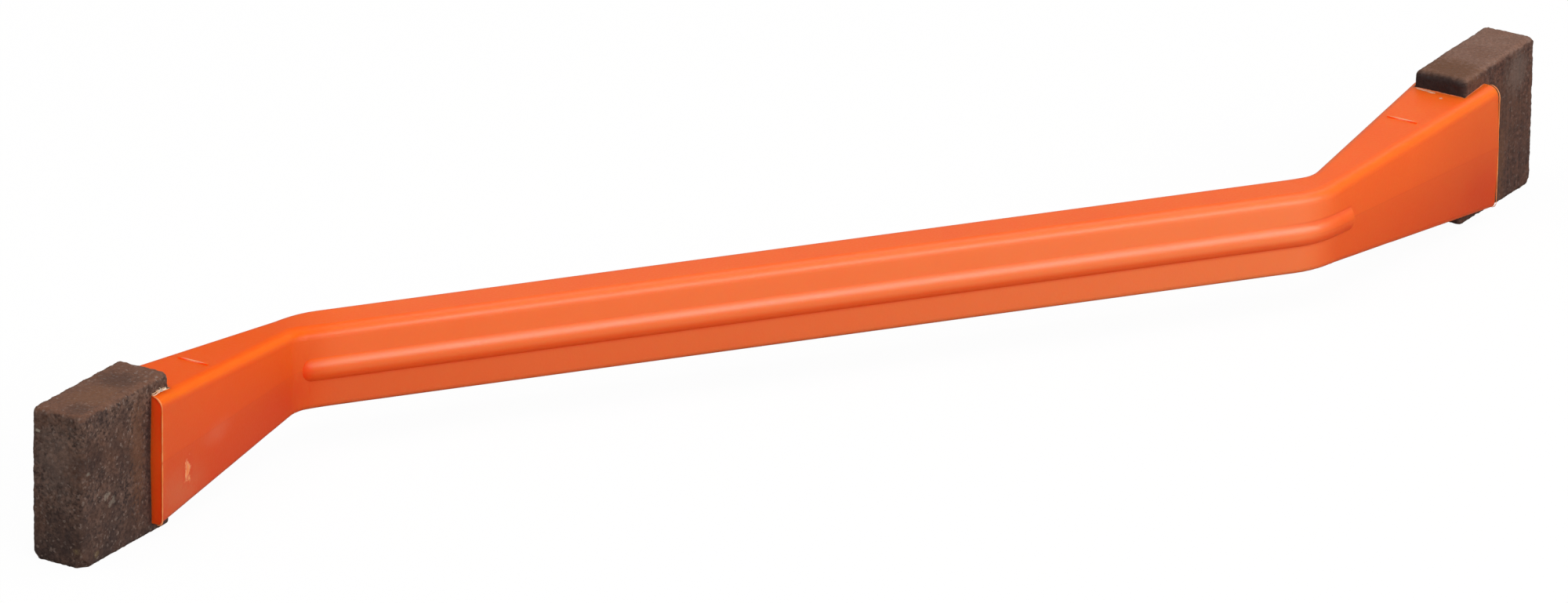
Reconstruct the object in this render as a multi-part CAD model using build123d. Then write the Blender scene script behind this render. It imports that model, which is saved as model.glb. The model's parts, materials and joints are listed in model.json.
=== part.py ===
"""Double-ended sharpening tool: an offset plastic handle with an abrasive stone glued in each fork.

Units are millimetres. +X runs along the straight grip towards the right stone, +Z is up and
Z = 0 is the plane that both stones stand on. Each leg has its own frame: X runs outwards along
the leg from its bend, Y is up and Z points to the outside of the bend.
"""

import os
from math import copysign

from build123d import *

# Straight grip
BEND_SPACING = 178.4
BAR_THICKNESS = 9.2
BAR_HEIGHT = 13.7
TOP_EDGE_RADIUS = 1.9
BOTTOM_EDGE_RADIUS = 1.0
DRAFT_ANGLE = 1.5

# Legs, bent to opposite sides and flaring towards the forks
LEG_ANGLE = 36.0
LEG_LENGTH = 46.5
LEG_ROOT_THICKNESS = 6.4
FLARE_RADIUS = 60.0
FLARE_RUN_IN = 8.0
OUTER_BEND_RADIUS = 15.0
INNER_BEND_RADIUS = 5.0
OUTER_CHEEK_THICKNESS = 3.0
INNER_CHEEK_THICKNESS = 2.25

# Stones
STONE_HEIGHT = 25.4
STONE_THICKNESS = 9.5
STONE_LENGTH = 23.7
STONE_PROUD = 1.95
STONE_LIFT = 0.3
RIGHT_STONE_RISE = 0.75
LEFT_SEAT_DEPTH = 5.4
RIGHT_SEAT_DEPTH = 6.7
STONE_EDGE_CHAMFER = 0.3
ADHESIVE_FILM = 0.15

# Grip bead: a round rib along the middle of each side of the grip
BEAD_WIDTH = 3.8
BEAD_RISE = 0.8
BEAD_END_GAP = 2.5
BEAD_RUN_ON_LEG = 8.0

# Moulded witness line across the top of each leg
WITNESS_PLACE = 27.5
WITNESS_LENGTH = 5.6
WITNESS_WIDTH = 0.35
WITNESS_RISE = 0.2
WITNESS_ROOT = 0.5

# How edges are told apart
END_REACH = 0.5
MOSTLY_LEVEL = 0.9

# Sizes that follow from the ones above
SLOT_WIDTH = STONE_THICKNESS + 2 * ADHESIVE_FILM
OUTER_END_REACH = SLOT_WIDTH / 2 + OUTER_CHEEK_THICKNESS
INNER_END_REACH = SLOT_WIDTH / 2 + INNER_CHEEK_THICKNESS
LEG_END_HEIGHT = STONE_HEIGHT - 2 * STONE_PROUD
LEG_RISE = (LEG_END_HEIGHT - BAR_HEIGHT) / 2
BEAD_RADIUS = (BEAD_WIDTH**2 / 4 + BEAD_RISE**2) / (2 * BEAD_RISE)
BEAD_DEPTH = BEAD_RADIUS - BEAD_RISE
CLEAR_ACROSS = 2 * STONE_HEIGHT


def leg_frame(turn):
    """Frame of one leg: origin at its bend, X outwards along it, Y up, Z to the outside."""
    bend = Vector(BEND_SPACING / 2, 0).rotate(Axis.Z, turn)
    along = Vector(1, 0).rotate(Axis.Z, LEG_ANGLE + turn)
    outside = Vector(0, -1).rotate(Axis.Z, LEG_ANGLE + turn)
    return Plane(origin=bend, x_dir=along, z_dir=outside)


RIGHT_LEG = leg_frame(0)
LEFT_LEG = leg_frame(180)
LEGS = (LEFT_LEG, RIGHT_LEG)


def end_sign(leg):
    """+1 for the right leg, -1 for the left one."""
    return copysign(1, leg.origin.X)


def leg_side(leg, side):
    """Root and end plan points of one long side; side is +1 outside the bend, -1 inside it."""
    reach = OUTER_END_REACH if side > 0 else INNER_END_REACH
    root = leg.from_local_coords((0, 0, side * LEG_ROOT_THICKNESS / 2))
    end = leg.from_local_coords((LEG_LENGTH, 0, side * reach))
    return root, end


def meet(start, toward, y):
    """Point where the line through two plan points reaches the given Y."""
    run = toward - start
    return start + run * ((y - start.Y) / run.Y)


def bend_corner(leg, side):
    """Sharp plan corner where one long side of a leg meets the grip, before it is rounded."""
    return meet(*leg_side(leg, side), -side * end_sign(leg) * BAR_THICKNESS / 2)


def half_outline(leg):
    """Plan corners of one leg, from its outer bend corner round to its inner one."""
    ends = [leg_side(leg, side)[1] for side in (+1, -1)]
    return [bend_corner(leg, +1), *ends, bend_corner(leg, -1)]


def rounded(outline, side, radius):
    """The outline with the bend corners of one side of both legs rounded."""
    corners = [bend_corner(leg, side) for leg in LEGS]
    vertices = [outline.vertices().sort_by_distance(corner)[0] for corner in corners]
    return fillet(vertices, radius)


def plan_outline():
    """The S-shaped plan of the handle at mid height, with rounded bends."""
    outline = make_face(Polyline(*half_outline(RIGHT_LEG), *half_outline(LEFT_LEG), close=True))
    outline = rounded(outline, +1, OUTER_BEND_RADIUS)
    return rounded(outline, -1, INNER_BEND_RADIUS)


def leg_side_view(leg):
    """The flared side view of one leg, easing out of the grip, as a slab across the leg."""
    root = BAR_HEIGHT / 2
    beyond = 2 * LEG_LENGTH
    top = [(-FLARE_RUN_IN, root), (0, root), (beyond, root + LEG_RISE * beyond / LEG_LENGTH)]
    bottom = [(x, -y) for x, y in reversed(top)]
    profile = make_face(Polyline(*top, *bottom, close=True))
    profile = fillet(profile.vertices().group_by(Axis.X)[1], FLARE_RADIUS)
    return extrude(leg * profile, CLEAR_ACROSS, both=True)


def at_leg_end(edge):
    """True for an edge across the outer end of either leg."""
    middle = edge @ 0.5
    places = [leg.to_local_coords(middle).X for leg in LEGS]
    return any(abs(place - LEG_LENGTH) < END_REACH for place in places)


def rim_edges(body, up):
    """The long edges where the top (up +1) or bottom (up -1) meets the sides, but not the ends."""
    levels = [face for face in body.faces() if face.normal_at().Z * up > MOSTLY_LEVEL]
    edges = ShapeList(edge for face in levels for edge in face.edges())
    return [edge for edge in edges if edges.count(edge) == 1 and not at_leg_end(edge)]


def blank():
    """The whole handle before the slots, beads and witness lines."""
    outline = plan_outline()
    upper = extrude(outline, LEG_END_HEIGHT / 2, taper=DRAFT_ANGLE)
    lower = extrude(outline, -LEG_END_HEIGHT / 2, taper=DRAFT_ANGLE)
    grip = Box(2 * BEND_SPACING, 2 * CLEAR_ACROSS, BAR_HEIGHT)
    body = (upper + lower) & (grip + [leg_side_view(leg) for leg in LEGS])
    body = fillet(rim_edges(body, +1), TOP_EDGE_RADIUS)
    return fillet(rim_edges(body, -1), BOTTOM_EDGE_RADIUS)


def bead(leg, other):
    """The round rib along the grip, round the outer bend of one leg and a short way onto it."""
    root, end = leg_side(leg, +1)
    run = (end - root).normalized()
    inward = Vector(0, 0, 1).cross(run)
    depth_y = -end_sign(leg) * (BAR_THICKNESS / 2 - BEAD_DEPTH)
    start = Vector(bend_corner(other, -1).X + end_sign(leg) * BEAD_END_GAP, depth_y)
    turn = meet(root + inward * BEAD_DEPTH, end + inward * BEAD_DEPTH, depth_y)
    finish = turn + run * BEAD_RUN_ON_LEG
    path = FilletPolyline(start, turn, finish, radius=OUTER_BEND_RADIUS - BEAD_DEPTH)
    rib = sweep(Plane(origin=path @ 0, z_dir=path % 0) * Circle(BEAD_RADIUS), path)
    return rib + Pos(start) * Sphere(BEAD_RADIUS)


def witness_line(leg):
    """A low rib across the sloping top of one leg."""
    root = BAR_HEIGHT / 2 + LEG_RISE * WITNESS_PLACE / LEG_LENGTH
    slope = leg.x_dir * LEG_LENGTH + Vector(0, 0, LEG_RISE)
    top = Plane(
        origin=leg.from_local_coords((WITNESS_PLACE, root, 0)), x_dir=slope, z_dir=leg.z_dir
    )
    height = WITNESS_RISE + WITNESS_ROOT
    return top * Pos(0, WITNESS_RISE - height / 2) * Box(WITNESS_WIDTH, height, WITNESS_LENGTH)


def slot(leg, seat_depth):
    """The open slot between the two cheeks of a fork."""
    middle = LEG_LENGTH - seat_depth - ADHESIVE_FILM + CLEAR_ACROSS / 2
    return leg * Pos(middle, 0) * Box(CLEAR_ACROSS, CLEAR_ACROSS, SLOT_WIDTH)


def stone(leg, seat_depth, rise=0.0):
    """One stone, its inner end seated in the fork and its top climbing to the bare end."""
    inner = LEG_LENGTH - seat_depth
    outer = inner + STONE_LENGTH
    foot = STONE_LIFT - STONE_HEIGHT / 2
    top = STONE_LIFT + STONE_HEIGHT / 2
    side = Polygon((inner, foot), (outer, foot), (outer, top + rise), (inner, top), align=None)
    return leg * extrude(side, STONE_THICKNESS / 2, both=True)


def softened(block):
    """A stone with its edges broken."""
    return chamfer(block.edges(), STONE_EDGE_CHAMFER)


def adhesive(body, slot_void, block):
    """The film that fills the slot round the seated end of one stone."""
    return (body & slot_void) - block


def main():
    body = blank()
    slots = [slot(LEFT_LEG, LEFT_SEAT_DEPTH), slot(RIGHT_LEG, RIGHT_SEAT_DEPTH)]
    stones = [
        stone(LEFT_LEG, LEFT_SEAT_DEPTH),
        stone(RIGHT_LEG, RIGHT_SEAT_DEPTH, RIGHT_STONE_RISE),
    ]
    beads = [bead(RIGHT_LEG, LEFT_LEG), bead(LEFT_LEG, RIGHT_LEG)]
    witness_lines = [witness_line(leg) for leg in LEGS]
    nodes = {
        "handle": body + beads + witness_lines - slots,
        "left_stone": softened(stones[0]),
        "right_stone": softened(stones[1]),
        "left_adhesive": adhesive(body, slots[0], stones[0]),
        "right_adhesive": adhesive(body, slots[1], stones[1]),
    }
    middle = (stones[0] + stones[1]).bounding_box().center()
    lift = Pos(-middle.X, -middle.Y, STONE_HEIGHT / 2 - STONE_LIFT)
    os.makedirs("parts", exist_ok=True)
    for name, solid in nodes.items():
        export_step(lift * solid, f"parts/{name}.step")


main()
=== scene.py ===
import json
import math
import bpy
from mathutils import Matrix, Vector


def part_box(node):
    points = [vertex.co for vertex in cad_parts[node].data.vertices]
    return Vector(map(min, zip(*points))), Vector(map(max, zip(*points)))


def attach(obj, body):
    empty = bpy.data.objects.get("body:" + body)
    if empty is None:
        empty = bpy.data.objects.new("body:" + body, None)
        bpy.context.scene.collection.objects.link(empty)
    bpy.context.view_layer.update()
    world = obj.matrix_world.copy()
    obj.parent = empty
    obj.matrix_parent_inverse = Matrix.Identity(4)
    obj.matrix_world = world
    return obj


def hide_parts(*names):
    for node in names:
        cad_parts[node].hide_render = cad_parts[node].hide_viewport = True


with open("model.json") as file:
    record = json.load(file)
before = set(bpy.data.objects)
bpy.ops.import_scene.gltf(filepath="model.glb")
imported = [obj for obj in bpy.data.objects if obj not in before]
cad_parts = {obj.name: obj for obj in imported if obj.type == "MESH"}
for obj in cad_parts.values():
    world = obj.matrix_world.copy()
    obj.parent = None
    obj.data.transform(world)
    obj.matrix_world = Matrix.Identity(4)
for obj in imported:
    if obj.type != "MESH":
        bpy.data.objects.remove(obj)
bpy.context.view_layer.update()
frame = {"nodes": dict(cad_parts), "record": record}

from types import SimpleNamespace

import bmesh
import bpy
from mathutils import Matrix, Vector, noise

# Vector noise is otherwise seeded from the clock
noise.seed_set(5)

# Sizes of the tool, in metres
MM = 0.001
BEND_HALF = 89.2 * MM
LEG_ANGLE = math.radians(36.0)
LEG_LENGTH = 46.5 * MM
LEG_END_HEIGHT = 21.5 * MM
BAR_HEIGHT = 13.7 * MM
LEG_SLOPE = (LEG_END_HEIGHT - BAR_HEIGHT) / 2 / LEG_LENGTH
SLOT_HALF = 4.9 * MM
OUTER_CHEEK = 3.0 * MM
INNER_CHEEK = 2.25 * MM
TOP_EDGE = 1.9 * MM
BOTTOM_EDGE = 1.0 * MM
BEAD_FOOT = 1.9 * MM
WITNESS_PLACE = 27.5 * MM
STONE_SIZE = Vector((23.7, 9.5, 25.4)) * MM
SEATS = {"left": 5.4 * MM, "right": 6.7 * MM}

MOUNTS = {mount["name"]: mount for mount in frame["record"]["mounts"]}
CENTRE = Vector(MOUNTS["grip"]["pos_m"])
LEFT, RIGHT = -1, 1
SIDES = {"left": LEFT, "right": RIGHT}


def leg_matrix(side):
    """Frame of a leg: X outwards from the bend, Y to the inside of the bend, Z up."""
    turn = LEG_ANGLE + (math.pi if side == LEFT else 0.0)
    place = Matrix.Translation(CENTRE + Vector((side * BEND_HALF, 0, 0)))
    return place @ Matrix.Rotation(turn, 4, "Z")


def on_leg(side, along, across, up):
    """A point on a leg, from its distances in millimetres."""
    return leg_matrix(side) @ (Vector((along, across, up)) * MM)


def leg_top(along):
    """Height of a leg's top face above the tool's mid height."""
    return BAR_HEIGHT / 2 + LEG_SLOPE * along


def stone_matrix(name):
    """Frame of a stone: origin at its middle, X towards its bare end, Z up."""
    foot = Vector(MOUNTS[name + "_foot"]["pos_m"])
    turn = LEG_ANGLE + (math.pi if name.startswith("left") else 0.0)
    lift = Vector((0, 0, STONE_SIZE.z / 2))
    return Matrix.Translation(foot + lift) @ Matrix.Rotation(turn, 4, "Z")


# ---------------------------------------------------------------- mesh helpers


def finish_piece(name, bm, material):
    """Turns a bmesh into a smooth-shaded piece that rides on the tool's one body."""
    mesh = bpy.data.meshes.new(name)
    bm.to_mesh(mesh)
    bm.free()
    mesh.polygons.foreach_set("use_smooth", [True] * len(mesh.polygons))
    mesh.materials.append(material)
    piece = bpy.data.objects.new(name, mesh)
    bpy.context.scene.collection.objects.link(piece)
    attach(piece, "root")
    return piece


def grid_block(size, pitch):
    """A box whose faces are all cut into squares of about one pitch."""
    bm = bmesh.new()
    bmesh.ops.create_cube(bm, size=1.0)
    bmesh.ops.scale(bm, vec=size, verts=bm.verts)
    for axis in range(3):
        edges = []
        for edge in bm.edges:
            run = edge.verts[0].co - edge.verts[1].co
            if abs(run[axis]) > 0.9 * run.length:
                edges.append(edge)
        cuts = round(size[axis] / pitch) - 1
        bmesh.ops.subdivide_edges(bm, edges=edges, cuts=cuts, use_grid_fill=True)
    return bm


# ---------------------------------------------------------------- stones

GRID_PITCH = 0.23 * MM
EDGE_ROUND = 0.50 * MM
EDGE_WEAR = 0.35 * MM
WEAR_SIZE = 2.2 * MM
CROWN_WEAR = 0.30 * MM
CROWN_START = 0.4
CROWN_LEAST = 0.15
GRAIN_DEPTH = 0.15 * MM
GRAIN_PROUD = 0.17 * MM
GRAIN_SIZE = 0.55 * MM
FINE_GRAIN_SHARE = 0.3
PIT_DEPTH = 0.22 * MM
PIT_SIZE = 1.5 * MM
PIT_START = 0.25
CHIP_ROUGHNESS = 0.35
CHIP_GRAIN = 1.1 * MM
TINY = 1e-9

# Seed of each stone's grain
STONE_SEEDS = {"left_stone": 3.1, "right_stone": 7.7}

# Broken corners: corner signs in the stone's frame, then the size of the break
CHIPS = {
    "left_stone": [((1, 1, 1), 1.0), ((1, -1, -1), 0.9), ((1, 1, -1), 1.3), ((-1, 1, 1), 0.6)],
    "right_stone": [((1, 1, 1), 0.9), ((1, -1, 1), 0.7), ((-1, 1, 1), 0.6), ((1, -1, -1), 0.9)],
}


def worn_point(point, half, seed):
    """Pulls a point of the box in to a rounded, uneven edge, rounder at the crown."""
    wear = 0.5 + 0.5 * noise.noise(point / WEAR_SIZE + seed)
    height = max(0.0, (point.z / half.z - CROWN_START) / (1 - CROWN_START))
    crown = CROWN_WEAR * (CROWN_LEAST + height) * (0.6 + 0.8 * wear)
    radius = EDGE_ROUND + EDGE_WEAR * wear + crown
    core = Vector([max(-h + radius, min(h - radius, p)) for p, h in zip(point, half)])
    out = point - core
    if out.length < TINY:
        return point, Vector((0, 0, 1))
    return core + out.normalized() * radius, out.normalized()


def grain_depth(point, seed):
    """How far the grit lies below the highest grains at a point."""
    grit = noise.noise(point / GRAIN_SIZE + seed)
    fine = noise.noise(point / (0.5 * GRAIN_SIZE) - seed)
    pit = max(0.0, noise.noise(point / PIT_SIZE + 2 * seed) - PIT_START)
    return GRAIN_DEPTH * (0.5 + 0.5 * grit + FINE_GRAIN_SHARE * fine) + PIT_DEPTH * pit


def chipped(point, half, chips):
    """Moves a point back to the uneven plane of a broken corner."""
    for signs, size in chips:
        way = Vector(signs).normalized()
        corner = Vector([s * h for s, h in zip(signs, half)])
        rough = CHIP_ROUGHNESS * noise.noise(point / CHIP_GRAIN + corner / MM)
        over = (point - corner).dot(way) + size * MM * (0.9 + rough)
        if over > 0:
            point = point - way * over
    return point


def stone_piece(name, material):
    """A block of bonded grit with worn edges, pits and broken corners."""
    bm = grid_block(STONE_SIZE, GRID_PITCH)
    half = STONE_SIZE / 2
    low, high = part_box(name)
    rise = high.z - low.z - STONE_SIZE.z
    seed = STONE_SEEDS[name]
    shift = Vector((seed, 2 * seed, 3 * seed))
    for vert in bm.verts:
        flat = vert.co.copy()
        point, out = worn_point(flat, half, shift)
        point -= out * (grain_depth(flat, shift) - GRAIN_PROUD)
        point = chipped(point, half, CHIPS[name])
        point.z = max(point.z, -half.z)
        climb = (0.5 + point.x / STONE_SIZE.x) * (0.5 + point.z / STONE_SIZE.z)
        vert.co = point + Vector((0, 0, rise * climb))
    bmesh.ops.transform(bm, matrix=stone_matrix(name), verts=bm.verts)
    piece = finish_piece(name + "_block", bm, material)
    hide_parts(name)


# ---------------------------------------------------------------- adhesive and flash

BEAD_WAVE = 1.1 * MM
BEAD_SAG = 0.3
BEAD_TAPER = 8
SAG_SEED = Vector((0, 0, 9))

CURL_TURNS = 2
CURL_STEPS = 14
CURL_SWAY = 0.35

SMEAR_SWELL = 0.35
SMEAR_WAVES = 1.7

FLASH_RADIUS = {"left": 0.15 * MM, "right": 0.10 * MM}
FLASH_WAVE = 1.3 * MM
ARC_STEPS = 8
FACE_STEPS = 25


def bead_run(points, radii, segments=8):
    """A round bead through the points, with its own radius at each and closed ends."""
    bm = bmesh.new()
    last = len(points) - 1
    rings = []
    for i, (point, radius) in enumerate(zip(points, radii)):
        run = points[min(i + 1, last)] - points[max(i - 1, 0)]
        turn = run.normalized().to_track_quat("Z", "Y").to_matrix().to_4x4()
        ring = bmesh.ops.create_circle(
            bm,
            cap_ends=i in (0, last),
            segments=segments,
            radius=radius,
            matrix=Matrix.Translation(point) @ turn,
        )["verts"]
        rings.append({edge for vert in ring for edge in vert.link_edges})
    for first, second in zip(rings, rings[1:]):
        edges = [edge for edge in bm.edges if edge in first or edge in second]
        bmesh.ops.bridge_loops(bm, edges=edges)
    bmesh.ops.recalc_face_normals(bm, faces=bm.faces)
    return bm


def wavy_bead(name, start, end, radius, material, seed, steps):
    """An uneven bead of glue between two points."""
    points = []
    radii = []
    for i in range(steps + 1):
        share = i / steps
        point = start.lerp(end, share)
        spot = Vector((share * (end - start).length / BEAD_WAVE, seed, 0))
        swell = 0.5 + 0.5 * noise.noise(spot)
        ends = min(1.0, BEAD_TAPER * share, BEAD_TAPER * (1 - share))
        radii.append(radius * (0.35 + 0.9 * swell) * (0.25 + 0.75 * ends))
        points.append(point + BEAD_SAG * radius * noise.noise_vector(spot + SAG_SEED))
    finish_piece(name, bead_run(points, radii), material)


def glue_curl(name, material, start, size, height, radius, seed):
    """A thread of glue that curls up where it was squeezed out of the left fork."""
    points = []
    radii = []
    steps = CURL_STEPS * CURL_TURNS
    for i in range(steps + 1):
        share = i / steps
        angle = 2 * math.pi * CURL_TURNS * share + seed
        sway = CURL_SWAY * size[0] * noise.noise_vector(Vector((3 * share, seed, 0)))
        loop = Vector((math.cos(angle) * size[0], math.sin(angle) * size[1], height * share))
        points.append(leg_matrix(LEFT) @ (start + loop * (1 - 0.4 * share) + sway))
        radii.append(radius * (1 - 0.6 * share))
    finish_piece(name, bead_run(points, radii, 6), material)


def glue_smear(name, material, centre, size, seed):
    """A thin uneven smear of glue lying on top of the right leg."""
    bm = bmesh.new()
    bmesh.ops.create_uvsphere(bm, u_segments=28, v_segments=14, radius=1.0)
    for vert in bm.verts:
        swell = 1 + SMEAR_SWELL * noise.noise(vert.co * SMEAR_WAVES + Vector((seed, 0, 0)))
        vert.co = Vector((vert.co.x * swell, vert.co.y * swell, vert.co.z))
    bmesh.ops.scale(bm, vec=size, verts=bm.verts)
    place = leg_matrix(RIGHT) @ Matrix.Translation(centre)
    bmesh.ops.transform(bm, matrix=place, verts=bm.verts)
    finish_piece(name, bm, material)


def cheek_outline(across):
    """Points down the outer profile of one cheek's end, from its top to its bottom."""
    sign = math.copysign(1, across)
    top = LEG_END_HEIGHT / 2
    face = BOTTOM_EDGE - 2 * top + TOP_EDGE
    angles = [math.pi / 2 * i / ARC_STEPS for i in range(ARC_STEPS + 1)]
    points = []
    for angle in angles:
        y = across - sign * TOP_EDGE * (1 - math.sin(angle))
        points.append(Vector((LEG_LENGTH, y, top - TOP_EDGE * (1 - math.cos(angle)))))
    for i in range(1, FACE_STEPS):
        points.append(Vector((LEG_LENGTH, across, top - TOP_EDGE + face * i / FACE_STEPS)))
    for angle in angles:
        y = across - sign * BOTTOM_EDGE * (1 - math.cos(angle))
        points.append(Vector((LEG_LENGTH, y, -top + BOTTOM_EDGE * (1 - math.sin(angle)))))
    return points


def fork_flash(label, cheek, across, material):
    """The lip of flash round one cheek's end, thinner at both of its own ends."""
    matrix = leg_matrix(SIDES[label])
    back = Vector((0.08 * MM, 0, 0))
    points = [matrix @ (point - back) for point in cheek_outline(across)]
    last = len(points) - 1
    radii = []
    for i, point in enumerate(points):
        taper = min(1.0, 0.3 + 0.2 * i, 0.3 + 0.2 * (last - i))
        uneven = 0.8 + 0.6 * noise.noise(point / FLASH_WAVE)
        radii.append(FLASH_RADIUS[label] * uneven * taper)
    name = f"{label}_{cheek}_fork_flash"
    finish_piece(name, bead_run(points, radii), material)


# ---------------------------------------------------------------- node helpers

SOCKET_TYPES = {"value": "NodeSocketFloat", "vector": "NodeSocketVector"}


class Nodes:
    """Builds one node tree, a node at a time."""

    def __init__(self, tree):
        self.tree = tree

    def feed(self, socket, value):
        """Links an input to another node's output, or sets its value."""
        if isinstance(value, bpy.types.NodeSocket):
            self.tree.links.new(value, socket)
        else:
            socket.default_value = value

    def add(self, kind, inputs=None, **settings):
        node = self.tree.nodes.new(kind)
        for key, value in settings.items():
            setattr(node, key, value)
        for key, value in (inputs or {}).items():
            self.feed(node.inputs[key], value)
        return node

    def coordinates(self):
        return self.add("ShaderNodeTexCoord").outputs["Object"]

    def normal(self):
        """The three parts of the face normal."""
        return self.split(self.add("ShaderNodeTexCoord").outputs["Normal"])

    def noise(self, vector, scale, detail=2.0, roughness=0.5):
        inputs = {"Vector": vector, "Scale": scale, "Detail": detail, "Roughness": roughness}
        return self.add("ShaderNodeTexNoise", inputs).outputs["Fac"]

    def span(self, value, low, high, to_low=0.0, to_high=1.0, smooth=False):
        """Maps a value from one range to another, held at both ends."""
        inputs = {
            "Value": value,
            "From Min": low,
            "From Max": high,
            "To Min": to_low,
            "To Max": to_high,
        }
        kind = "SMOOTHSTEP" if smooth else "LINEAR"
        return self.add("ShaderNodeMapRange", inputs, interpolation_type=kind).outputs["Result"]

    def maths(self, operation, first, second=0.0):
        node = self.add("ShaderNodeMath", {0: first, 1: second}, operation=operation)
        return node.outputs["Value"]

    def times(self, first, *others):
        """The product of two or more values."""
        for other in others:
            first = self.maths("MULTIPLY", first, other)
        return first

    def absolute(self, value):
        """A value without its sign."""
        return self.maths("ABSOLUTE", value)

    def between(self, value, rise, fall):
        """A mask that rises over one range of a value and falls over another."""
        return self.times(self.span(value, *rise), self.span(value, *fall))

    def mix(self, factor, first, second):
        node = self.add("ShaderNodeMix", data_type="RGBA")
        for key, value in (("Factor", factor), ("A", first), ("B", second)):
            self.feed(next(s for s in node.inputs if s.enabled and s.name == key), value)
        return next(s for s in node.outputs if s.enabled)

    def tint(self, colour, mask, strength, tone):
        """Turns a colour towards a tone by a mask times a strength."""
        return self.mix(self.times(mask, strength), colour, tone)

    def split(self, vector):
        return self.add("ShaderNodeSeparateXYZ", {0: vector}).outputs

    def place(self, tree, **inputs):
        """A shared group with its inputs set; an underscore in a name stands for a space."""
        named = {key.replace("_", " "): value for key, value in inputs.items()}
        return self.add("ShaderNodeGroup", named, node_tree=tree).outputs


def new_group(name, inputs, outputs):
    """An empty shader group with named sockets, its builder, input and output nodes."""
    tree = bpy.data.node_groups.new(name, "ShaderNodeTree")
    for way, sockets in (("INPUT", inputs), ("OUTPUT", outputs)):
        for label, kind in sockets.items():
            tree.interface.new_socket(label, in_out=way, socket_type=SOCKET_TYPES[kind])
    entry = tree.nodes.new("NodeGroupInput")
    leave = tree.nodes.new("NodeGroupOutput")
    return tree, Nodes(tree), entry.outputs, leave.inputs


def mottle_group():
    """Clouds of colour with a finer speckle: two masks from 0 to 1."""
    tree, nodes, entry, leave = new_group(
        "mottle",
        {"Vector": "vector", "Cloud Scale": "value", "Speck Scale": "value"},
        {"Cloud": "value", "Speck": "value"},
    )
    cloud = nodes.noise(entry["Vector"], entry["Cloud Scale"], 4.0, 0.55)
    speck = nodes.noise(entry["Vector"], entry["Speck Scale"], 3.0, 0.6)
    tree.links.new(nodes.span(cloud, 0.3, 0.7), leave["Cloud"])
    tree.links.new(nodes.span(speck, 0.3, 0.7), leave["Speck"])
    return tree


def patch_group():
    """A ragged soft-edged patch: 1 inside the unit ball of Local, 0 outside."""
    tree, nodes, entry, leave = new_group(
        "patch",
        {
            "Local": "vector",
            "Vector": "vector",
            "Softness": "value",
            "Raggedness": "value",
            "Scale": "value",
        },
        {"Mask": "value"},
    )
    length = nodes.add("ShaderNodeVectorMath", {0: entry["Local"]}, operation="LENGTH")
    rough = nodes.noise(entry["Vector"], entry["Scale"], 3.0, 0.6)
    rough = nodes.times(nodes.maths("SUBTRACT", rough, 0.5), entry["Raggedness"])
    edge = nodes.maths("ADD", length.outputs["Value"], nodes.times(rough, 2.0))
    inner = nodes.maths("SUBTRACT", 1.0, entry["Softness"])
    tree.links.new(nodes.span(edge, inner, 1.0, 1.0, 0.0, smooth=True), leave["Mask"])
    return tree


def streak_group():
    """Fine scratches drawn up and down a face: a mask from 0 to 1."""
    tree, nodes, entry, leave = new_group(
        "streaks",
        {"Vector": "vector", "Density": "value", "Length": "value"},
        {"Mask": "value"},
    )
    sides = nodes.split(entry["Vector"])
    parts = {"X": sides["X"], "Y": sides["Y"], "Z": nodes.times(sides["Z"], entry["Length"])}
    vector = nodes.add("ShaderNodeCombineXYZ", parts).outputs["Vector"]
    lines = nodes.noise(vector, entry["Density"], 3.0, 0.6)
    tree.links.new(nodes.span(lines, 0.35, 0.65), leave["Mask"])
    return tree


MOTTLE = mottle_group()
PATCH = patch_group()
STREAKS = streak_group()


def patch(nodes, vector, centre, radii, softness, ragged, scale):
    """Mask of a ragged ellipsoid patch at a place on the tool, turned with its legs."""
    inputs = {
        "Vector": vector,
        "Location": centre,
        "Rotation": (0.0, 0.0, LEG_ANGLE),
        "Scale": radii,
    }
    mapping = nodes.add("ShaderNodeMapping", inputs, vector_type="TEXTURE")
    return nodes.place(
        PATCH,
        Local=mapping.outputs["Vector"],
        Vector=vector,
        Softness=softness,
        Raggedness=ragged,
        Scale=scale,
    )["Mask"]


def new_material(name, **shader):
    """A material with a Principled shader whose even values are set on its own sockets."""
    material = bpy.data.materials.new(name)
    material.use_nodes = True
    tree = material.node_tree
    tree.nodes.clear()
    nodes = Nodes(tree)
    values = {key.replace("_", " "): value for key, value in shader.items()}
    bsdf = nodes.add("ShaderNodeBsdfPrincipled", values)
    output = nodes.add("ShaderNodeOutputMaterial")
    tree.links.new(bsdf.outputs["BSDF"], output.inputs["Surface"])
    return material, nodes, bsdf


def link(nodes, value, bsdf, socket):
    nodes.tree.links.new(value, bsdf.inputs[socket])


def bump(nodes, height, strength, distance, normal=None):
    inputs = {"Height": height, "Strength": strength, "Distance": distance}
    if normal is not None:
        inputs["Normal"] = normal
    return nodes.add("ShaderNodeBump", inputs).outputs["Normal"]


# ---------------------------------------------------------------- plastic

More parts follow.
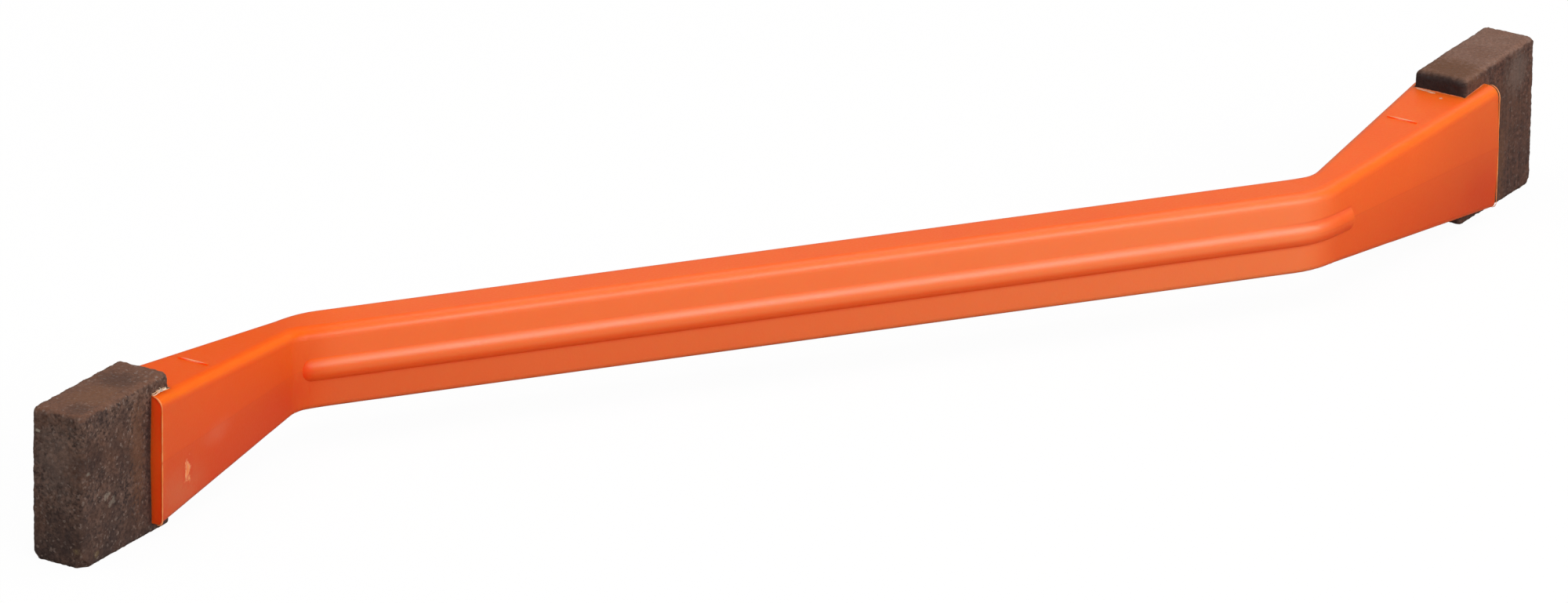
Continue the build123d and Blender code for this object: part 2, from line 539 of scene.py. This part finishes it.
ORANGE = (0.83, 0.110, 0.005, 1)
CLOUD_ORANGE = (0.85, 0.127, 0.009, 1)
SPECK_ORANGE = (0.75, 0.080, 0.004, 1)
GRIP_FRONT_LIGHT = (0.88, 0.198, 0.058, 1)
GRIP_LOW_SHADE = (0.62, 0.075, 0.012, 1)
BEAD_CREST_HIGHLIGHT = (0.78, 0.260, 0.130, 1)
BEAD_CREASE_SHADE = (0.68, 0.046, 0.003, 1)
BEAD_UNDERSIDE_SHADE = (0.84, 0.070, 0.003, 1)
BEAD_HEAD_SHADE = (0.66, 0.045, 0.002, 1)
LEFT_LEG_SHADE = (0.73, 0.078, 0.002, 1)
LEFT_LOW_SHADE = (0.58, 0.042, 0.005, 1)
RIGHT_LOW_SHADE = (0.50, 0.034, 0.002, 1)
FORK_DARKENING = (0.56, 0.090, 0.014, 1)
BELOW_PARTING_SHADE = (0.52, 0.030, 0.002, 1)
PARTING_LINE = (0.52, 0.045, 0.004, 1)
PAINTED_EDGE_GLOW = (0.80, 0.162, 0.003, 1)
CUT_END_LIGHT = (1.0, 0.074, 0.004, 1)
PAINTED_FORK_GLOW = (0.90, 0.13, 0.012, 1)
WITNESS_HIGHLIGHT = (0.86, 0.46, 0.31, 1)

# Distances from the tool's middle at which its tones change
BEND_BLEND = (BEND_HALF - 6 * MM, BEND_HALF + 4 * MM)
LEG_FADE_START = 80 * MM
LEG_FADE_END = 94 * MM
DULL_START = -60 * MM
DULL_END = -96 * MM
BEAD_OUTSIDE = (4.65 * MM, 4.8 * MM)
BEAD_UNDER_REACH = (2.6 * MM, 2.2 * MM)
CREASE_REACH = (0.50 * MM, 0.15 * MM)
HEAD_REACH = (0.45 * MM, 0.15 * MM)
HEAD_START = (80 * MM, 90 * MM)
HEAD_END = (95.9 * MM, 95.4 * MM)

FORK_RIM_RADII = Vector((1.8, 12, 14)) * MM
WITNESS_RADII = Vector((0.24, 2.9, 0.6)) * MM

# Painted shade near the left bend and the right fork, and painted reflections around the gate:
# leg, place and radii on it in millimetres, strength and tone
PAINTED_SHADE_AND_REFLECTIONS = (
    (RIGHT, (42, -8, -6.0), (8, 4, 5), 0.40, (0.56, 0.038, 0.002, 1)),
    (LEFT, (8, 4, -3), (12, 5, 4.5), 0.35, (0.66, 0.040, 0.003, 1)),
    (LEFT, (40, 7, -7), (11, 4, 7), 0.40, (0.60, 0.170, 0.070, 1)),
    (LEFT, (29, 7, -1), (7, 4, 3), 0.25, (0.74, 0.200, 0.110, 1)),
)

# Red ring, whitened ring and dimple of the gate: radii, raggedness, strength and tone
GATE_PLACE = (38.4, 6.45, -4.1)
GATE_RINGS = (
    ((2.3, 1.5, 3.9), 0.7, 0.50, (0.62, 0.042, 0.004, 1)),
    ((1.15, 1.5, 2.4), 1.2, 0.80, (0.88, 0.40, 0.17, 1)),
    ((0.50, 1.5, 1.25), 1.0, 0.85, (0.80, 0.190, 0.040, 1)),
)


def plastic_masks(nodes, vector):
    """Masks that tell the grip, the legs, their faces and their edges apart."""
    normal = nodes.normal()
    place = nodes.split(vector)
    height = nodes.maths("SUBTRACT", place["Z"], CENTRE.z)
    reach = nodes.absolute(nodes.maths("SUBTRACT", place["X"], CENTRE.x))
    leg = nodes.span(reach, *BEND_BLEND, smooth=True)
    along = nodes.span(reach, BEND_HALF, BEND_HALF + LEG_LENGTH * math.cos(LEG_ANGLE))
    half = nodes.span(along, 0.0, 1.0, BAR_HEIGHT / 2, LEG_END_HEIGHT / 2)
    share = nodes.maths("DIVIDE", height, half)
    upright = nodes.span(nodes.absolute(normal["Z"]), 0.7, 0.25)
    leftmost = nodes.span(place["X"], -LEG_FADE_START, -LEG_FADE_END, smooth=True)
    band = nodes.between(normal["Z"], (0.15, 0.5), (0.97, 0.75))
    band = nodes.times(band, nodes.span(share, 0.50, 0.75))
    under = nodes.span(nodes.absolute(height), *BEAD_UNDER_REACH)
    return SimpleNamespace(
        normal=normal,
        place=place,
        height=height,
        leg=leg,
        grip=nodes.maths("SUBTRACT", 1.0, leg),
        along=along,
        share=share,
        side=nodes.times(upright, leg),
        facing=nodes.absolute(normal["Y"]),
        leftmost=leftmost,
        rightmost=nodes.span(place["X"], LEG_FADE_START, LEG_FADE_END, smooth=True),
        band=nodes.times(band, nodes.span(leftmost, 0.0, 1.0, 0.42, 0.45)),
        under=nodes.times(under, nodes.span(normal["Z"], -0.08, -0.35, 0.0, 0.6)),
    )


def grip_tones(nodes, at, colour):
    """Painted light on the grip's long front face, stronger to the right, and painted shade along
    its lower left.
    """
    rightwards = nodes.span(at.place["X"], -BEND_HALF, BEND_HALF)
    # Painted light: paler where the grip's faces turn to the front, more so to the right
    front_light = nodes.times(nodes.span(at.facing, 0.35, 0.9), at.grip)
    front_light = nodes.times(front_light, nodes.span(rightwards, 0.0, 1.0, 0.45, 1.0))
    colour = nodes.mix(front_light, colour, GRIP_FRONT_LIGHT)
    # Painted shade: darker below the grip's mid height, more so to the left
    below = nodes.span(at.height, 0.5 * MM, -2.0 * MM)
    grip_shade = nodes.times(below, at.grip, nodes.span(rightwards, 0.0, 1.0, 1.0, 0.25))
    return nodes.tint(colour, grip_shade, 0.55, GRIP_LOW_SHADE)


def bead_tones(nodes, at, colour):
    """Painted highlights on the beads' crests; painted shade in the creases beside them, under
    them, and in their upper creases near the right end.
    """
    offset = nodes.absolute(nodes.maths("SUBTRACT", at.place["Y"], CENTRE.y))
    bead = nodes.times(nodes.span(offset, *BEAD_OUTSIDE), at.grip)
    # Painted highlight: paler where each bead's crest faces upwards
    crest = nodes.times(nodes.between(at.normal["Z"], (0.18, 0.34), (0.75, 0.5)), bead)
    colour = nodes.tint(colour, crest, 0.50, BEAD_CREST_HIGHLIGHT)
    # Painted shade in the crease along the lower foot of each bead
    foot = nodes.absolute(nodes.maths("ADD", at.height, BEAD_FOOT))
    crease = nodes.times(nodes.span(foot, *CREASE_REACH), at.facing, at.grip)
    colour = nodes.tint(colour, crease, 0.45, BEAD_CREASE_SHADE)
    # Painted shade: redder and darker on the downward faces under each bead
    colour = nodes.mix(at.under, colour, BEAD_UNDERSIDE_SHADE)
    # Painted shade in the upper crease of each bead near its right end
    head = nodes.absolute(nodes.maths("SUBTRACT", at.height, BEAD_FOOT))
    head = nodes.times(nodes.span(head, *HEAD_REACH), at.facing)
    head = nodes.times(head, nodes.between(at.place["X"], HEAD_START, HEAD_END))
    return nodes.tint(colour, head, 0.45, BEAD_HEAD_SHADE)


def leg_tones(nodes, at, colour):
    """Painted shade on the left leg and low on the legs' sides, darker towards the forks, and a
    painted glow along the upper edges.
    """
    # Painted shade: the whole left leg darker and redder, as it got less light
    colour = nodes.tint(colour, at.leftmost, 0.85, LEFT_LEG_SHADE)
    # Painted shade: darker down the left leg's sides
    low = nodes.times(nodes.span(at.share, 0.7, -0.9), at.side)
    colour = nodes.tint(colour, nodes.times(low, at.leftmost), 0.65, LEFT_LOW_SHADE)
    # Darker and browner on the legs' sides towards the forks
    fork_darkening = nodes.times(at.side, nodes.span(at.along, 0.55, 1.0, 0.0, 0.40))
    colour = nodes.mix(fork_darkening, colour, FORK_DARKENING)
    # Painted shade: darker low on the right leg's sides, more towards its fork
    right_low_shade = nodes.times(low, at.rightmost, nodes.span(at.along, 0.0, 1.0, 0.18, 0.70))
    colour = nodes.mix(right_low_shade, colour, RIGHT_LOW_SHADE)

    # Fine parting line along the middle of the legs, with painted shade below it
    step = nodes.times(nodes.span(at.share, 0.02, -0.03), at.side)
    colour = nodes.tint(colour, step, 0.10, BELOW_PARTING_SHADE)
    line = nodes.times(nodes.span(nodes.absolute(at.share), 0.024, 0.008), at.side)
    colour = nodes.tint(colour, line, 0.15, PARTING_LINE)
    # Painted glow along the legs' upper front edges, standing in for light through the plastic
    return nodes.mix(nodes.times(at.band, at.leg), colour, PAINTED_EDGE_GLOW)


def fork_tones(nodes, at, colour, vector):
    """Painted light on the cut ends of the forks, and a painted glow in a rim where they thin."""
    # Painted light: bright red-orange on faces turned along the legs, the forks' cut ends
    lean_x = nodes.times(at.normal["X"], math.cos(LEG_ANGLE))
    lean_y = nodes.times(at.normal["Y"], math.sin(LEG_ANGLE))
    lean = nodes.absolute(nodes.maths("ADD", lean_x, lean_y))
    colour = nodes.mix(nodes.times(nodes.span(lean, 0.6, 0.9), at.leg), colour, CUT_END_LIGHT)

    # Painted glow: a brighter rim round each fork's end where the plastic thins
    for side in (LEFT, RIGHT):
        end = leg_matrix(side) @ Vector((LEG_LENGTH, 0, 0))
        mask = patch(nodes, vector, end, FORK_RIM_RADII, softness=0.8, ragged=0.15, scale=300.0)
        colour = nodes.tint(colour, mask, 0.35, PAINTED_FORK_GLOW)
    return colour


def mould_marks(nodes, colour, vector):
    """The gate on the left leg, and a painted highlight on the witness line across the top of
    each leg.
    """
    for radii, ragged, strength, tone in GATE_RINGS:
        gate = patch(
            nodes, vector, on_leg(LEFT, *GATE_PLACE), Vector(radii) * MM,
            softness=0.7, ragged=ragged, scale=1100.0,
        )
        colour = nodes.tint(colour, gate, strength, tone)
    lines = 0.0
    for side in (LEFT, RIGHT):
        place = leg_matrix(side) @ Vector((WITNESS_PLACE, 0, leg_top(WITNESS_PLACE)))
        mask = patch(nodes, vector, place, WITNESS_RADII, softness=0.35, ragged=0.15, scale=900.0)
        lines = nodes.maths("MAXIMUM", mask, lines)
    # Painted highlight: the light caught by the raised witness lines
    return nodes.tint(colour, lines, 0.55, WITNESS_HIGHLIGHT)


def orange_plastic():
    """Moulded orange plastic, slightly translucent, with painted shade, painted reflections, gate
    mark and witness lines.
    """
    material, nodes, bsdf = new_material(
        "orange_plastic",
        Subsurface_Weight=0.45,
        Subsurface_Scale=2.8 * MM,
        Subsurface_Radius=(1.0, 0.20, 0.05),
    )
    vector = nodes.coordinates()
    mottle = nodes.place(MOTTLE, Vector=vector, Cloud_Scale=55.0, Speck_Scale=2400.0)
    colour = nodes.mix(mottle["Cloud"], ORANGE, CLOUD_ORANGE)
    colour = nodes.mix(nodes.span(mottle["Speck"], 0.0, 1.0, 0.0, 0.24), colour, SPECK_ORANGE)

    at = plastic_masks(nodes, vector)
    colour = grip_tones(nodes, at, colour)
    colour = bead_tones(nodes, at, colour)
    colour = leg_tones(nodes, at, colour)
    # Painted shade and painted reflections, in patches on the legs
    for side, place, radii, strength, tone in PAINTED_SHADE_AND_REFLECTIONS:
        mask = patch(
            nodes, vector, on_leg(side, *place), Vector(radii) * MM,
            softness=0.95, ragged=0.3, scale=150.0,
        )
        colour = nodes.tint(colour, mask, strength, tone)
    colour = fork_tones(nodes, at, colour, vector)
    colour = mould_marks(nodes, colour, vector)
    link(nodes, colour, bsdf, "Base Color")

    # The top of the left leg, the right leg's upper edges and the beads' undersides are dull
    dull = nodes.span(at.place["X"], DULL_START, DULL_END, smooth=True)
    dull = nodes.times(dull, nodes.span(at.normal["Z"], 0.2, 0.5))
    dull = nodes.maths("MAXIMUM", dull, nodes.times(at.band, at.rightmost))
    dull = nodes.maths("MAXIMUM", dull, at.under)
    link(nodes, nodes.span(dull, 0.0, 1.0, 0.38, 0.05), bsdf, "Specular IOR Level")

    rough = nodes.span(mottle["Cloud"], 0.0, 1.0, 0.33, 0.41)
    fine = nodes.noise(vector, 2600.0)
    rough = nodes.maths("ADD", rough, nodes.span(fine, 0.3, 0.7, -0.03, 0.05))
    link(nodes, rough, bsdf, "Roughness")
    wave = nodes.noise(vector, 90.0)
    relief = bump(nodes, fine, 0.45, 0.04 * MM)
    link(nodes, bump(nodes, wave, 0.25, 0.25 * MM, relief), bsdf, "Normal")
    return material


# ---------------------------------------------------------------- grit, glue, flash and floor

STAIN = (0.118, 0.050, 0.027, 1)
GRIME = (0.022, 0.012, 0.011, 1)
FOOT_DARKENING = (0.020, 0.013, 0.013, 1)
SCRATCH = (0.135, 0.064, 0.042, 1)
WORN = (0.150, 0.062, 0.034, 1)
BRIGHT_GRAIN = (0.26, 0.19, 0.155, 1)
CHALK = (0.42, 0.36, 0.28, 1)
OCHRE = (0.22, 0.15, 0.07, 1)
RUST = (0.15, 0.065, 0.032, 1)
DARK_RUST = (0.125, 0.054, 0.027, 1)
# Near-black, for soot and for painted shade
SOOT_AND_SHADE = (0.016, 0.008, 0.007, 1)
ASH = (0.17, 0.115, 0.092, 1)

# Heights above the ground between which the stones' feet darken
FOOT_DARKENING_HEIGHTS = (19 * MM, 3 * MM)

# Tones and strengths of each stone, then its marks: centre and radii in the stone's
# frame in millimetres, strength, raggedness and tone
STONE_LOOKS = {
    "left": SimpleNamespace(
        dark=(0.024, 0.012, 0.009, 1),
        pale=(0.172, 0.098, 0.070, 1),
        ground=(0.150, 0.066, 0.038, 1),
        scratches=0.10,
        foot_darkening=0.45,
        marks=(
            ((5.3, 4.75, -2.4), (1.0, 2.0, 0.6), 0.30, 2.0, CHALK),
            ((4.0, 4.75, -3.7), (1.2, 2.0, 0.9), 0.22, 2.0, CHALK),
            ((10.5, 4.75, 3.0), (0.5, 2.0, 0.4), 0.45, 1.5, CHALK),
            ((11.85, -3.7, 9.0), (2.0, 0.7, 0.5), 0.7, 1.4, CHALK),
            ((11.85, 3.5, -9.8), (2.0, 0.8, 0.6), 0.5, 1.4, OCHRE),
            ((8.3, 4.75, -11.0), (0.8, 2.0, 0.8), 0.35, 1.4, OCHRE),
            ((-3.0, 4.75, 2.0), (2.3, 2.0, 12.0), 0.50, 1.3, RUST),
            ((-6.3, 4.75, 0.0), (1.4, 2.0, 14.0), 0.55, 0.4, SOOT_AND_SHADE),
            ((9.5, 4.75, 5.0), (3.5, 2.0, 6.0), 0.40, 1.3, SOOT_AND_SHADE),
            ((11.85, -0.5, 5.0), (2.0, 5.5, 9.0), 0.35, 1.2, ASH),
            ((3.0, 1.0, 12.7), (7.0, 4.5, 2.5), 0.75, 0.9, RUST),
            ((-4.5, 0.0, 12.7), (4.5, 5.0, 2.0), 0.40, 0.7, SOOT_AND_SHADE),
            ((9.0, 2.0, 12.7), (3.5, 3.5, 3.0), 0.35, 0.9, SOOT_AND_SHADE),
        ),
    ),
    "right": SimpleNamespace(
        dark=(0.027, 0.010, 0.007, 1),
        pale=(0.122, 0.050, 0.032, 1),
        ground=(0.220, 0.118, 0.082, 1),
        scratches=0.40,
        foot_darkening=0.25,
        marks=(
            ((-8.4, 0.0, 13.0), (6.0, 7.5, 4.0), 0.95, 0.8, DARK_RUST),
            # Painted shade: the right stone's inner end, turned from the lights, near black
            ((-12.6, 0.0, 12.0), (2.1, 20.0, 16.0), 0.97, 0.15, SOOT_AND_SHADE),
            ((-3.0, -4.75, 0.0), (2.2, 2.0, 16.0), 0.55, 0.4, SOOT_AND_SHADE),
            ((1.5, -4.75, -5.0), (1.8, 2.0, 9.0), 0.45, 0.9, RUST),
            ((6.0, -4.75, 9.0), (5.0, 2.0, 5.0), 0.45, 0.8, ASH),
        ),
    ),
}


def grit_stone(label, look):
    """Bonded brown grit: dark binder, paler grains, ground faces, stains and scratches."""
    material, nodes, bsdf = new_material(label + "_grit", Specular_IOR_Level=0.3)
    matrix = stone_matrix(label + "_stone")
    vector = nodes.coordinates()
    mottle = nodes.place(MOTTLE, Vector=vector, Cloud_Scale=240.0, Speck_Scale=2600.0)
    coarse = nodes.span(nodes.noise(vector, 1250.0, 2.0, 0.6), 0.36, 0.64)
    grit = nodes.maths("ADD", nodes.times(coarse, 0.5), nodes.times(mottle["Speck"], 0.5))
    colour = nodes.mix(nodes.span(grit, 0.22, 0.78), look.dark, look.pale)
    blotch = nodes.span(nodes.noise(vector, 150.0, 5.0, 0.65), 0.42, 0.64)
    colour = nodes.tint(colour, blotch, 0.6, STAIN)
    colour = nodes.mix(nodes.span(mottle["Cloud"], 0.2, 0.8, 0.0, 0.58), colour, GRIME)
    # Darker towards the bottom of each stone
    low = nodes.span(nodes.split(vector)["Z"], *FOOT_DARKENING_HEIGHTS, 0.0, look.foot_darkening)
    colour = nodes.mix(low, colour, FOOT_DARKENING)

    # Scratches from use
    lines = nodes.place(STREAKS, Vector=vector, Density=1500.0, Length=0.05)["Mask"]
    colour = nodes.tint(colour, lines, look.scratches, SCRATCH)

    # Ground top and foot, paler than the sides
    level = nodes.span(nodes.absolute(nodes.normal()["Z"]), 0.35, 0.85, smooth=True)
    level = nodes.times(level, nodes.span(mottle["Speck"], 0.0, 1.0, 0.5, 1.0))
    colour = nodes.mix(level, colour, nodes.tint(look.ground, blotch, 0.5, WORN))

    # Loose bright grains, fewer where the stone is scratched
    cells = nodes.add("ShaderNodeTexVoronoi", {"Vector": vector, "Scale": 2700.0})
    grain = nodes.split(cells.outputs["Color"])["X"]
    bright = nodes.span(grain, 0.90, 0.98, 0.0, 0.45 - 0.6 * look.scratches)
    colour = nodes.mix(bright, colour, BRIGHT_GRAIN)

    for place, radii, strength, ragged, tone in look.marks:
        mask = patch(
            nodes, vector, matrix @ (Vector(place) * MM), Vector(radii) * MM,
            softness=0.7, ragged=ragged, scale=1400.0,
        )
        colour = nodes.tint(colour, mask, strength, tone)
    link(nodes, colour, bsdf, "Base Color")
    link(nodes, nodes.span(grain, 0.0, 1.0, 0.95, 0.60), bsdf, "Roughness")
    relief = bump(nodes, nodes.noise(vector, 4200.0, 3.0, 0.65), 0.8, 0.10 * MM)
    link(nodes, bump(nodes, grain, 0.5, 0.10 * MM, relief), bsdf, "Normal")
    return material


def adhesive(name, thick, thin, cloudiness):
    """Hardened glue, cloudy where it is thick and amber where it is thin."""
    material, nodes, bsdf = new_material(
        name,
        Subsurface_Weight=0.25,
        Subsurface_Scale=0.5 * MM,
        Subsurface_Radius=(1.0, 0.7, 0.4),
    )
    vector = nodes.coordinates()
    mottle = nodes.place(MOTTLE, Vector=vector, Cloud_Scale=420.0, Speck_Scale=3000.0)
    colour = nodes.tint(thin, mottle["Cloud"], cloudiness, thick)
    colour = nodes.tint(colour, mottle["Speck"], 0.3, (0.35, 0.16, 0.08, 1))
    link(nodes, colour, bsdf, "Base Color")
    link(nodes, nodes.span(mottle["Speck"], 0.0, 1.0, 0.25, 0.5), bsdf, "Roughness")
    link(nodes, bump(nodes, mottle["Speck"], 0.4, 0.05 * MM), bsdf, "Normal")
    return material


def mould_flash():
    """The thin lip of plastic left where the mould halves meet, paler than the grip as a painted
    highlight.
    """
    material, nodes, bsdf = new_material(
        "mould_flash",
        Subsurface_Weight=0.2,
        Subsurface_Scale=0.8 * MM,
        Subsurface_Radius=(1.0, 0.4, 0.15),
    )
    vector = nodes.coordinates()
    mottle = nodes.place(MOTTLE, Vector=vector, Cloud_Scale=500.0, Speck_Scale=2500.0)
    # Painted highlight: the lip's paler tone stands in for the light its edge catches
    colour = nodes.mix(mottle["Cloud"], (0.84, 0.19, 0.03, 1), (0.86, 0.32, 0.12, 1))
    link(nodes, colour, bsdf, "Base Color")
    link(nodes, nodes.span(mottle["Speck"], 0.0, 1.0, 0.35, 0.55), bsdf, "Roughness")
    link(nodes, bump(nodes, mottle["Speck"], 0.3, 0.03 * MM), bsdf, "Normal")
    return material


def pale_floor():
    """A plain near-white sweep that throws back less light than it shows."""
    material, nodes, bsdf = new_material(
        "pale_floor",
        Base_Color=(0.30, 0.29, 0.285, 1),
        Roughness=0.95,
        Specular_IOR_Level=0.0,
    )
    glow = nodes.add("ShaderNodeEmission", {"Color": (1, 1, 1, 1), "Strength": 1.09})
    seen = nodes.add("ShaderNodeLightPath").outputs["Is Camera Ray"]
    shaders = {0: nodes.times(seen, 0.88), 1: bsdf.outputs["BSDF"], 2: glow.outputs["Emission"]}
    blend = nodes.add("ShaderNodeMixShader", shaders)
    output = next(n for n in nodes.tree.nodes if n.type == "OUTPUT_MATERIAL")
    nodes.tree.links.new(blend.outputs["Shader"], output.inputs["Surface"])
    return material


# ---------------------------------------------------------------- build

plastic = orange_plastic()
grits = {label: grit_stone(label, look) for label, look in STONE_LOOKS.items()}
film = adhesive("adhesive_film", (0.45, 0.22, 0.12, 1), (0.16, 0.050, 0.020, 1), 0.5)
glue = adhesive("adhesive_squeeze_out", (0.80, 0.68, 0.52, 1), (0.80, 0.38, 0.18, 1), 1.0)
smear = adhesive("adhesive_smear", (0.84, 0.46, 0.32, 1), (0.84, 0.22, 0.08, 1), 0.9)
lip = adhesive("adhesive_lip", (0.80, 0.22, 0.09, 1), (0.78, 0.12, 0.02, 1), 0.8)
flash = mould_flash()

for node, material in (("handle", plastic), ("left_adhesive", film), ("right_adhesive", film)):
    data = frame["nodes"][node].data
    data.materials.clear()
    data.materials.append(material)

for label, grit in grits.items():
    stone_piece(label + "_stone", grit)

# The flash sits just inside each cheek's outer face
FLASH_INSET = 0.1 * MM
for label in SIDES:
    fork_flash(label, "outer", -(SLOT_HALF + OUTER_CHEEK) + FLASH_INSET, flash)
    fork_flash(label, "inner", SLOT_HALF + INNER_CHEEK - FLASH_INSET, flash)

# Squeezed-out glue: a seam across each stone's top, and a line along it on each side
SEAM_RADIUS = 0.11 * MM
LINE_RADIUS = 0.08 * MM
for label, side in SIDES.items():
    matrix = leg_matrix(side)
    root = LEG_LENGTH - SEATS[label]
    height = leg_top(root)
    across = SLOT_HALF - 0.2 * MM
    ends = [matrix @ Vector((root - 0.1 * MM, y, height)) for y in (-across, across)]
    material = glue if label == "left" else lip
    wavy_bead(f"{label}_glue_seam", *ends, SEAM_RADIUS, material, 4.0 + side, 48)
    for cheek, y in (("outer", -SLOT_HALF), ("inner", SLOT_HALF)):
        start = matrix @ Vector((root + 0.2 * MM, y, height))
        end = matrix @ Vector((LEG_LENGTH - 0.3 * MM, y, leg_top(LEG_LENGTH)))
        seed = 9.0 + side + y / MM
        wavy_bead(f"{label}_{cheek}_glue_line", start, end, LINE_RADIUS, material, seed, 36)

# Curls at the left fork, in millimetres: place from the cheek's end and past the
# slot's side, reach along and across, height and thread radius
CURLS = (
    (-1.0, 0.10, (0.75, 0.35), 0.55, 0.10),
    (-2.3, -0.05, (0.60, 0.30), 0.70, 0.09),
    (-3.4, 0.15, (0.55, 0.35), 0.40, 0.11),
    (-1.8, 0.30, (0.50, 0.25), 0.50, 0.07),
)
for i, (along, across, spread, lift, radius) in enumerate(CURLS):
    start = Vector((LEG_LENGTH + along * MM, SLOT_HALF + across * MM, leg_top(LEG_LENGTH)))
    name = f"left_glue_curl_{i + 1}"
    glue_curl(name, glue, start, Vector(spread) * MM, lift * MM, radius * MM, 1.7 * i)

# Smears behind the right seam, in millimetres: place back from it and across, radii
SMEARS = (
    (0.35, 2.4, (0.40, 1.20, 0.05)),
    (0.60, 1.1, (0.35, 0.80, 0.04)),
    (1.90, -1.4, (0.35, 0.30, 0.03)),
    (0.30, 3.6, (0.30, 0.60, 0.05)),
)
for i, (back, across, radii) in enumerate(SMEARS):
    along = LEG_LENGTH - SEATS["right"] - back * MM
    centre = Vector((along, across * MM, leg_top(along)))
    glue_smear(f"right_glue_smear_{i + 1}", smear, centre, Vector(radii) * MM, 2.3 * i)

# ---------------------------------------------------------------- stage, lights, camera

FLOOR_REACH = 6.0
WORLD_STRENGTH = 0.40

# Direction, distance, length, width, radiance and sideways shift of each soft box
LIGHTS = {
    "overhead_box": ((0.0, 0.12, 0.98), 1.0, 2.2, 0.55, 1.70, 0.0),
    "front_box": ((0.15, -0.87, 0.46), 1.3, 2.2, 0.45, 5.8, 0.25),
    "rear_left_box": ((-0.75, 0.60, 0.30), 1.2, 0.7, 0.7, 0.8, 0.0),
    "rear_right_box": ((0.90, 0.35, 0.30), 1.2, 0.7, 0.7, 0.8, 0.0),
}

CAMERA_AZIMUTH = math.radians(-22.44)
CAMERA_ELEVATION = math.radians(21.48)
CAMERA_ROLL = math.radians(0.85)
CAMERA_DISTANCE = 2216.6 * MM
CAMERA_LENS = 316.5
CAMERA_SENSOR = 36.0
CAMERA_CLIP_END = 50.0
AIM_RIGHT = -4.39 * MM
AIM_UP = -1.77 * MM


def soft_box(name, direction, distance, length, width, radiance, shift):
    """A soft rectangular light, its length level, aimed at the middle of the tool."""
    data = bpy.data.lights.new(name, "AREA")
    data.shape = "RECTANGLE"
    data.size = length
    data.size_y = width
    data.energy = radiance * math.pi * length * width
    light = bpy.data.objects.new(name, data)
    direction = Vector(direction).normalized()
    side = Vector((1, 0, 0))
    up = direction.cross(side).normalized()
    side = up.cross(direction)
    turn = Matrix((side, up, direction)).transposed().to_4x4()
    place = CENTRE + direction * distance + side * shift
    light.matrix_world = Matrix.Translation(place) @ turn
    bpy.context.scene.collection.objects.link(light)


floor_mesh = bpy.data.meshes.new("floor")
floor_bm = bmesh.new()
bmesh.ops.create_grid(floor_bm, x_segments=2, y_segments=2, size=FLOOR_REACH)
floor_bm.to_mesh(floor_mesh)
floor_bm.free()
floor_mesh.materials.append(pale_floor())
floor = bpy.data.objects.new("floor", floor_mesh)
bpy.context.scene.collection.objects.link(floor)

world = bpy.data.worlds.new("soft_white")
bpy.context.scene.world = world
world.use_nodes = True
background = world.node_tree.nodes["Background"]
background.inputs["Color"].default_value = (1, 1, 1, 1)
background.inputs["Strength"].default_value = WORLD_STRENGTH

for name, settings in LIGHTS.items():
    soft_box(name, *settings)

ca, sa = math.cos(CAMERA_AZIMUTH), math.sin(CAMERA_AZIMUTH)
ce, se = math.cos(CAMERA_ELEVATION), math.sin(CAMERA_ELEVATION)
right = Vector((ca, sa, 0))
upward = Vector((-sa * se, ca * se, ce))
back = Vector((sa * ce, -ca * ce, se))
data = bpy.data.cameras.new("camera")
data.lens = CAMERA_LENS
data.sensor_width = CAMERA_SENSOR
data.clip_end = CAMERA_CLIP_END
camera = bpy.data.objects.new("camera", data)
axes = Matrix((right, upward, back)).transposed().to_4x4()
axes = axes @ Matrix.Rotation(CAMERA_ROLL, 4, "Z")
place = CENTRE + right * AIM_RIGHT + upward * AIM_UP + back * CAMERA_DISTANCE
camera.matrix_world = Matrix.Translation(place) @ axes
bpy.context.scene.collection.objects.link(camera)
bpy.context.scene.camera = camera

bpy.context.scene.view_settings.view_transform = "Standard"
bpy.context.scene.view_settings.look = "None"
